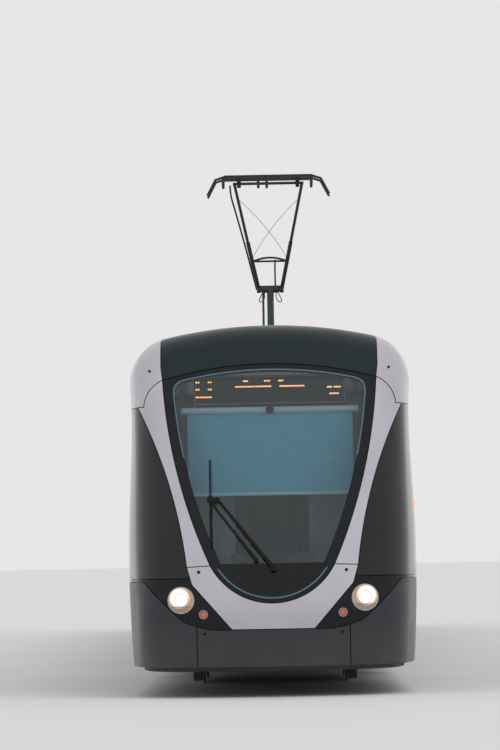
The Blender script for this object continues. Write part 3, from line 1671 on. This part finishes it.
@dataclass
class NoseTrim:
    """Small parts let into the skin of the nose: lamp bezels and lenses, cover caps and side lamps.

    Attributes:
        headlamp, turn_lamp: Place of each lamp across and above the rail, and its radius.
        caps: Place across and above the rail, radius, and the node each cap sits in.
        side_lamp: Distance of the side lamp's face from the middle, place along the tram and height.
    """

    headlamp: Point = (0.817, 0.849, 0.1196)
    turn_lamp: Point = (0.618, 0.721, 0.0396)
    caps: tuple[tuple[float, float, float, str], ...] = (
        (0.61, 0.548, 0.014, "apron"),
        (0.655, 1.096, 0.015, "mask"),
        (1.09, 2.93, 0.013, "mask"),
    )
    side_lamp: Point = (1.311, -14.17, up(1.70))

    def laid_ring(self, name: str, place: Spot, outer: float, inner: float, proud: float, node: str) -> Piece:
        """Make a ring or disc that lies on a node's surface, as seen from the front.

        Args:
            name: Name of the ring.
            place: Its middle, across and above the rail.
            outer: Outer radius.
            inner: Inner radius, or 0 for a disc.
            proud: How far it stands out of the surface.
            node: The CAD node it lies on.

        Returns:
            The closed ring on the front nose.
        """
        select_none()
        bpy.ops.mesh.primitive_circle_add(
            vertices=48,
            radius=outer,
            fill_type="NGON",
            location=(place[0], -NOSE - 1.0, up(place[1])),
            rotation=(math.pi / 2, 0, 0),
        )
        ring = settled(name)
        with whole(ring):
            if inner:
                inset((outer - inner) / 2)
                inset((outer - inner) / 2)
                bpy.ops.mesh.delete(type="FACE")
            else:
                for share in (0.12, 0.2, 0.3):
                    inset(outer * share)
        apply_modifier(
            ring,
            "SHRINKWRAP",
            target=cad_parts[node],
            wrap_method="PROJECT",
            use_project_x=False,
            use_project_y=True,
            use_project_z=False,
            use_negative_direction=False,
            use_positive_direction=True,
        )
        with whole(ring):
            bpy.ops.mesh.normals_make_consistent(inside=False)
        if ring.data.polygons[0].normal.y > 0:
            ring.data.flip_normals()
        apply_modifier(ring, "SOLIDIFY", thickness=proud + 0.002, offset=0.4)
        return soften(ring, min(proud, 0.002), 2)

    def lamps(self) -> None:
        """Bezels round the lamps, and the reflector ring inside each headlamp."""
        rings = []
        x, z, radius = self.headlamp
        turn_x, turn_z, turn_radius = self.turn_lamp
        for side in (-1, 1):
            for name, place, outer, inner, proud in (
                ("bezel", (side * x, z), radius, radius - 0.010, 0.004),
                ("inner_bezel", (side * x, z), 0.062, 0.057, 0.002),
                ("turn_bezel", (side * turn_x, turn_z), turn_radius, turn_radius - 0.006, 0.003),
            ):
                rings.append(self.laid_ring(name, place, outer, inner, proud, "lamps_front"))
        both_ends(join(rings, "bezels"), "lamp_bezels_{end}", "cab", Paints.bright_trim)

    def covers(self) -> None:
        """Round caps over the screws of the nose panels."""
        caps = []
        for x, z, radius, node in self.caps:
            for side in (-1, 1):
                caps.append(self.laid_ring("cap", (side * x, z), radius, 0.0, 0.0015, f"{node}_front"))
        both_ends(join(caps, "caps"), "screw_caps_{end}", "cab", Paints.wiper)

    def side_lamps(self) -> None:
        """Amber repeaters on the sides behind the cab windows: a foot and a domed lens."""
        x, y, z = self.side_lamp
        feet, lenses = [], []
        for side in (-1, 1):
            foot = start_tube("foot", (side * x, y, z), (side * (x + 0.010), y, z), 0.046, 40)
            feet.append(soften(foot, 0.003, 2))
            lens = start_tube("lens", (side * (x + 0.008), y, z), (side * (x + 0.018), y, z), 0.038, 40)
            with faces(lens, lambda c: abs(c.x) > x + 0.017):
                for step, shrink in ((0.006, 0.90), (0.004, 0.78), (0.002, 0.55)):
                    push(side * step, 0, 0)
                    scale(1, shrink, shrink)
            lenses.append(smooth(lens, 60))
        for name, parts, paint in (("foot", feet, Paints.wiper), ("lens", lenses, Paints.repeater)):
            both_ends(join(parts, name), f"side_lamp_{name}_{{end}}", "cab", paint)

    def build(self) -> None:
        """Make every small part of the nose."""
        self.lamps()
        self.covers()
        self.side_lamps()


@dataclass
class Wiper:
    """Wiper parked across the lower corner of the windscreen, on a driven arm and a guide arm.

    Attributes:
        spindle, guide: Feet of the driven and of the guide arm, across and above the rail.
        spindle_head, guide_head: Where the two arms meet the carrier.
        arm_width, arm_depth: Size of the pressed channel at its foot.
        arm_gap: Distance from the glass to the arms.
        arm_cuts, blade_cuts: Number of lengths in which an arm and the blade follow the glass.
        blade_x: Place of the blade across.
        blade_ends: Heights of the blade's ends above the rail.
        claws: Number of brackets between the spine and the rubber.
    """

    spindle: Spot = (0.010, 1.126)
    guide: Spot = (-0.148, 1.205)
    spindle_head: Spot = (-0.484, 1.750)
    guide_head: Spot = (-0.548, 1.728)
    arm_width: float = 0.034
    arm_depth: float = 0.014
    arm_gap: float = 0.038
    arm_cuts: int = 6
    blade_cuts: int = 12
    blade_x: float = -0.545
    blade_ends: Spot = (1.315, 2.100)
    claws: int = 5

    def lay(self, piece: Piece, gap: float) -> Piece:
        """Move a piece made in the flat front view onto the curved windscreen.

        Args:
            piece: The piece, with its depth along Y and its back at Y = 0.
            gap: Distance from the glass to its back.

        Returns:
            The piece itself.
        """
        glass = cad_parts["windscreen_front"]
        start = -NOSE - 1.0
        with editing(piece, "VERT") as mesh:
            for vert in mesh.verts:
                hit, place, _, _ = glass.ray_cast(Vector((vert.co.x, start, vert.co.z)), Vector((0, 1, 0)))
                vert.co.y += (place.y if hit else -NOSE) - gap
            bmesh.update_edit_mesh(piece.data)
        return piece

    def arm(self, foot: Spot, head: Spot, width: float) -> Piece:
        """Make one arm: a pressed channel that narrows towards its head.

        Args:
            foot: Lower end, across and above the rail.
            head: Upper end.
            width: Width at the foot.

        Returns:
            The arm over the glass.
        """
        rise = Vector(head) - Vector(foot)
        length = rise.length
        bar = start_block("arm", (0, -self.arm_depth, -width / 2), (length, 0, width / 2))
        with faces(bar, lambda c: c.x > length - 0.001):
            scale(1, 0.8, 0.6, center_override=(length, 0, 0))
        with faces(bar, lambda c: c.y < -self.arm_depth * 0.85):
            inset(0.005)
            push(0, 0.004, 0)
        cuts = self.arm_cuts
        soften(sliced(bar, [(length * number / cuts, 0, 0) for number in range(1, cuts)], (1, 0, 0)), 0.0015, 2)
        turn = Matrix.Rotation(-math.atan2(rise.y, rise.x), 4, "Y")
        bar.data.transform(Matrix.Translation((foot[0], 0, up(foot[1]))) @ turn)
        return self.lay(bar, self.arm_gap)

    def boss(self, place: Spot, radius: float) -> Piece:
        """Make the stepped boss that an arm turns on."""
        x, z = place[0], up(place[1])
        height = self.arm_gap + self.arm_depth + 0.006
        boss = start_tube("boss", (x, 0, z), (x, -height, z), radius, 32)
        with faces(boss, lambda c: c.y < -height + 0.001):
            for step in (-0.006, 0.003):
                inset(radius * 0.25)
                push(0, step, 0)
        return self.lay(soften(boss, 0.002, 2), 0.0)

    def carrier(self) -> list[Piece]:
        """Make the link across the arms' heads, with a pin on each and a clip over the blade."""
        left, right = self.guide_head[0] - 0.022, self.spindle_head[0] + 0.022
        height = up((self.guide_head[1] + self.spindle_head[1]) / 2)
        bar = start_block("link", (left, -0.010, height - 0.017), (right, 0, height + 0.017))
        with faces(bar, lambda c: c.x < left + 0.001):
            scale(1, 1, 1.5)
        parts = [self.lay(soften(bar, 0.004, 3), self.arm_gap - 0.010)]
        for x, z in (self.guide_head, self.spindle_head):
            pin = start_tube("pin", (x, -0.030, up(z)), (x, 0, up(z)), 0.011, 24)
            parts.append(self.lay(soften(pin, 0.002, 2), self.arm_gap - 0.010))
        left, right = self.blade_x - 0.015, self.blade_x + 0.015
        clip = start_block("clip", (left, -0.020, height - 0.035), (right, 0, height + 0.035))
        parts.append(self.lay(soften(clip, 0.004, 3), 0.012))
        return parts

    def blade(self) -> list[Piece]:
        """Make the rubber, the spine over it and the brackets between them."""
        low, high = (up(end) for end in self.blade_ends)
        middle, cuts = self.blade_x, self.blade_cuts
        parts = []
        for name, half, depth, gap in (("rubber", 0.003, 0.012, 0.001), ("spine", 0.008, 0.006, 0.018)):
            strip = start_block(name, (middle - half, -depth, low), (middle + half, 0, high))
            sliced(strip, [(0, 0, low + (high - low) * number / cuts) for number in range(1, cuts)], (0, 0, 1))
            parts.append(self.lay(soften(strip, 0.001, 2), gap))
        for number in range(self.claws):
            height = low + (high - low) * (number + 0.5) / self.claws
            claw = start_block("claw", (middle - 0.010, -0.014, height - 0.016), (middle + 0.010, 0, height + 0.016))
            with faces(claw, lambda c: c.y < -0.013):
                scale(0.7, 1, 0.5)
            parts.append(self.lay(soften(claw, 0.002, 2), 0.008))
        return parts

    def build(self) -> None:
        """Make the wiper of both cabs."""
        parts = [
            self.arm(self.spindle, self.spindle_head, self.arm_width),
            self.arm(self.guide, self.guide_head, self.arm_width * 0.8),
            self.boss(self.spindle, 0.030),
            self.boss(self.guide, 0.021),
            *self.carrier(),
            *self.blade(),
        ]
        both_ends(join(parts, "wiper"), "wiper_arms_{end}", "cab", Paints.wiper, "wiper")


@dataclass
class RoofKit:
    """Lids, louvres, fans and ducts on the roof equipment.

    Attributes:
        cab_boxes, mid_boxes: Middle along the tram and length of each box.
        cab_fans, mid_fans: Middle of each fan along the tram.
        top: Height of the boxes.
        deck: Height that the ducts lie at.
        half: Half width of the boxes.
        duct_x, centre_duct_x: Distance of the ducts from the middle.
        slat_pitch: Distance from one slat to the next.
        spokes: Number of spokes of a fan guard.
    """

    cab_boxes: tuple[Spot, ...] = ((-12.9, 1.5), (-11.0, 1.8), (-9.5, 0.8))
    mid_boxes: tuple[Spot, ...] = ((-6.95, 2.2), (-4.15, 1.7))
    cab_fans: Spot = (-11.45, -10.6)
    mid_fans: Spot = (-7.5, -6.8)
    top: float = up(3.28)
    deck: float = up(2.758)
    half: float = 0.78
    duct_x: float = 0.815
    centre_duct_x: float = 0.7
    slat_pitch: float = 0.05
    spokes: int = 8

    def lid(self, middle: float, length: float) -> Piece:
        """Make one raised lid with a sunk field."""
        x, y, low = self.half - 0.012, length / 2 - 0.012, self.top - 0.002
        lid = start_block("lid", (-x, middle - y, low), (x, middle + y, low + 0.024))
        with faces(lid, lambda c: c.z > low + 0.02):
            inset(0.07)
            push(0, 0, -0.008)
        return soften(lid, 0.004, 2)

    def louvres(self, middle: float, length: float) -> Piece:
        """Make a row of tilted slats over the sunk field of a lid."""
        low, pitch, x = self.top + 0.012, self.slat_pitch, self.half - 0.12
        count = int((length - 0.30) / pitch)
        start = middle - count * pitch / 2
        slat = start_block("slat", (-x, start, low), (x, start + 0.034, low + 0.006))
        with faces(slat, lambda c: c.y > start + 0.033):
            shift(0, 0, 0.014)
        repeat(soften(slat, 0.0015, 1), count, pitch)
        return slat

    def fan(self, middle: float) -> Piece:
        """Make a fan guard: a ring, a hub and slanted spokes."""
        low = self.top + 0.010
        ring = start_tube("ring", (0, middle, low), (0, middle, low + 0.022), 0.26, 48)
        with faces(ring, lambda c: abs(c.z - low - 0.011) > 0.01):
            inset(0.03)
            bpy.ops.mesh.bridge_edge_loops()
        hub = start_tube("hub", (0, middle, low), (0, middle, low + 0.018), 0.06, 32)
        with faces(hub, lambda c: c.z > low + 0.017):
            inset(0.02)
            shift(0, 0, 0.004)
        parts = [soften(ring, 0.003, 1), soften(hub, 0.003, 1)]
        for number in range(self.spokes):
            angle = number * 2 * math.pi / self.spokes
            start, end = [
                (radius * math.cos(bearing), middle + radius * math.sin(bearing), low + 0.010)
                for radius, bearing in ((0.05, angle), (0.24, angle + 0.5))
            ]
            parts.append(soften(start_tube("spoke", start, end, 0.005, 8), 0.001, 1))
        return join(parts, "fan")

    def duct(self, start: float, end: float, x: float) -> Piece:
        """Make a cable duct along the deck beside the boxes."""
        low = self.deck
        duct = start_block("duct", (x - 0.018, start, low), (x + 0.018, end, low + 0.05))
        with faces(duct, lambda c: c.z > low + 0.04):
            inset(0.006)
            push(0, 0, 0.004)
        return soften(duct, 0.003, 1)

    def build(self) -> None:
        """Fit out the roofs of the cab and middle sections, and of the centre one."""
        for body, boxes, louvred, fans, ducts in (
            ("cab", self.cab_boxes, 0, self.cab_fans, (-14.0, -8.95)),
            ("mid", self.mid_boxes, 1, self.mid_fans, (-8.3, -2.6)),
        ):
            parts = [self.lid(*box) for box in boxes]
            parts += [self.louvres(*boxes[louvred]), *[self.fan(y) for y in fans]]
            parts += [self.duct(*ducts, x) for x in (-self.duct_x, self.duct_x)]
            name = f"roof_kit_{{end}}_{body}"
            both_ends(join(parts, body), name, body, Paints.roof)
        ducts = [self.duct(-1.95, 1.95, x) for x in (-self.centre_duct_x, self.centre_duct_x)]
        place_piece(join(ducts, "roof_kit_centre"), "centre", Paints.roof)


@dataclass
class DoorKit:
    """Push buttons on the door leaves.

    Attributes:
        buttons: Body, and places along the tram of the buttons on its doors.
        face: Distance of the leaves' outer face from the middle.
        height: Height of the buttons.
    """

    buttons: tuple[tuple[str, tuple[float, ...]], ...] = (("cab", (-13.188,)), ("mid", (-7.105, -3.705)))
    face: float = 1.3195
    height: float = up(1.15)

    def button(self, y: float, side: int) -> Piece:
        """Make one button in its raised round housing."""
        x, z = self.face, self.height
        housing = start_tube("housing", (side * (x - 0.004), y, z), (side * (x + 0.008), y, z), 0.034, 32)
        with faces(housing, lambda c: abs(c.x) > x + 0.007):
            for width, step in ((0.008, -0.005), (0.003, 0.006)):
                inset(width)
                push(side * step, 0, 0)
        return soften(housing, 0.0015, 2)

    def build(self) -> None:
        """Fit all the doors."""
        for body, places in self.buttons:
            group = join([self.button(y, side) for y in places for side in (-1, 1)], body)
            name = f"door_buttons_{{end}}_{body}"
            both_ends(group, name, body, Paints.bright_trim)


@dataclass
class Saloon:
    """Grab poles and ceiling lights inside the sections.

    Attributes:
        floor, ceiling: Heights of the floor and of the ceiling.
        pole_x, light_x: Distance of the poles and of the lights from the middle.
        poles: Body, and places of its poles along the front half.
        lights: Body, and the start and end of its lights in the front half.
    """

    floor: float = up(0.352)
    ceiling: float = up(2.698)
    pole_x: float = 0.52
    light_x: float = 0.62
    poles: tuple[tuple[str, tuple[float, ...]], ...] = (
        ("cab", (-13.05, -9.3)),
        ("mid", (-7.95, -6.4, -5.45, -4.5, -2.95)),
    )
    lights: tuple[tuple[str, Spot], ...] = (("cab", (-13.9, -9.0)), ("mid", (-8.2, -2.7)))

    def pole(self, x: float, y: float) -> Piece:
        """Make an upright tube with a flange at each end."""
        low, high = self.floor + 0.014, self.ceiling - 0.014
        tube = start_tube("pole", (x, y, low), (x, y, high), 0.0175, 20)
        with editing(tube) as mesh:
            for level, step in ((low, -0.004), (high, 0.004)):
                choose_faces(tube, mesh, lambda c: abs(c.z - level) < 0.001)
                push(0, 0, step / 4)
                scale(2.3, 2.3, 1, center_override=(x, y, level))
                push(0, 0, step * 2.5)
                mesh = bmesh.from_edit_mesh(tube.data)
        return smooth(tube, 30)

    def light(self, x: float, start: float, end: float) -> Piece:
        """Make a ceiling light with a sunk diffuser."""
        high = self.ceiling
        light = start_block("light", (x - 0.07, start, high - 0.03), (x + 0.07, end, high))
        with faces(light, lambda c: c.z < high - 0.029):
            inset(0.015)
            shift(0, 0, -0.006)
        return soften(light, 0.004, 2)

    def build(self) -> None:
        """Fit every section."""
        sides = (-self.light_x, self.light_x)
        for body, places in self.poles:
            group = join([self.pole(x, y) for y in places for x in (-self.pole_x, self.pole_x)], body)
            both_ends(group, f"grab_poles_{{end}}_{body}", body, Paints.bright_trim)
        for body, ends in self.lights:
            group = join([self.light(x, *ends) for x in sides], body)
            both_ends(group, f"ceiling_lights_{{end}}_{body}", body, Paints.diffuser)
        centre = join([self.light(x, -1.9, 1.9) for x in sides], "ceiling_lights_centre")
        place_piece(centre, "centre", Paints.diffuser)


def main() -> None:
    """Build the studio and dress the tram."""
    logging.basicConfig(level=logging.INFO, format="%(message)s")
    bpy.context.scene.view_settings.view_transform = "Standard"
    Studio().build()
    for group in (CadSkins, Bellows, CabRoom, Benches, Pantograph, NoseTrim, Wiper, RoofKit, DoorKit, Saloon):
        group().build()


if __name__ == "__main__":
    main()
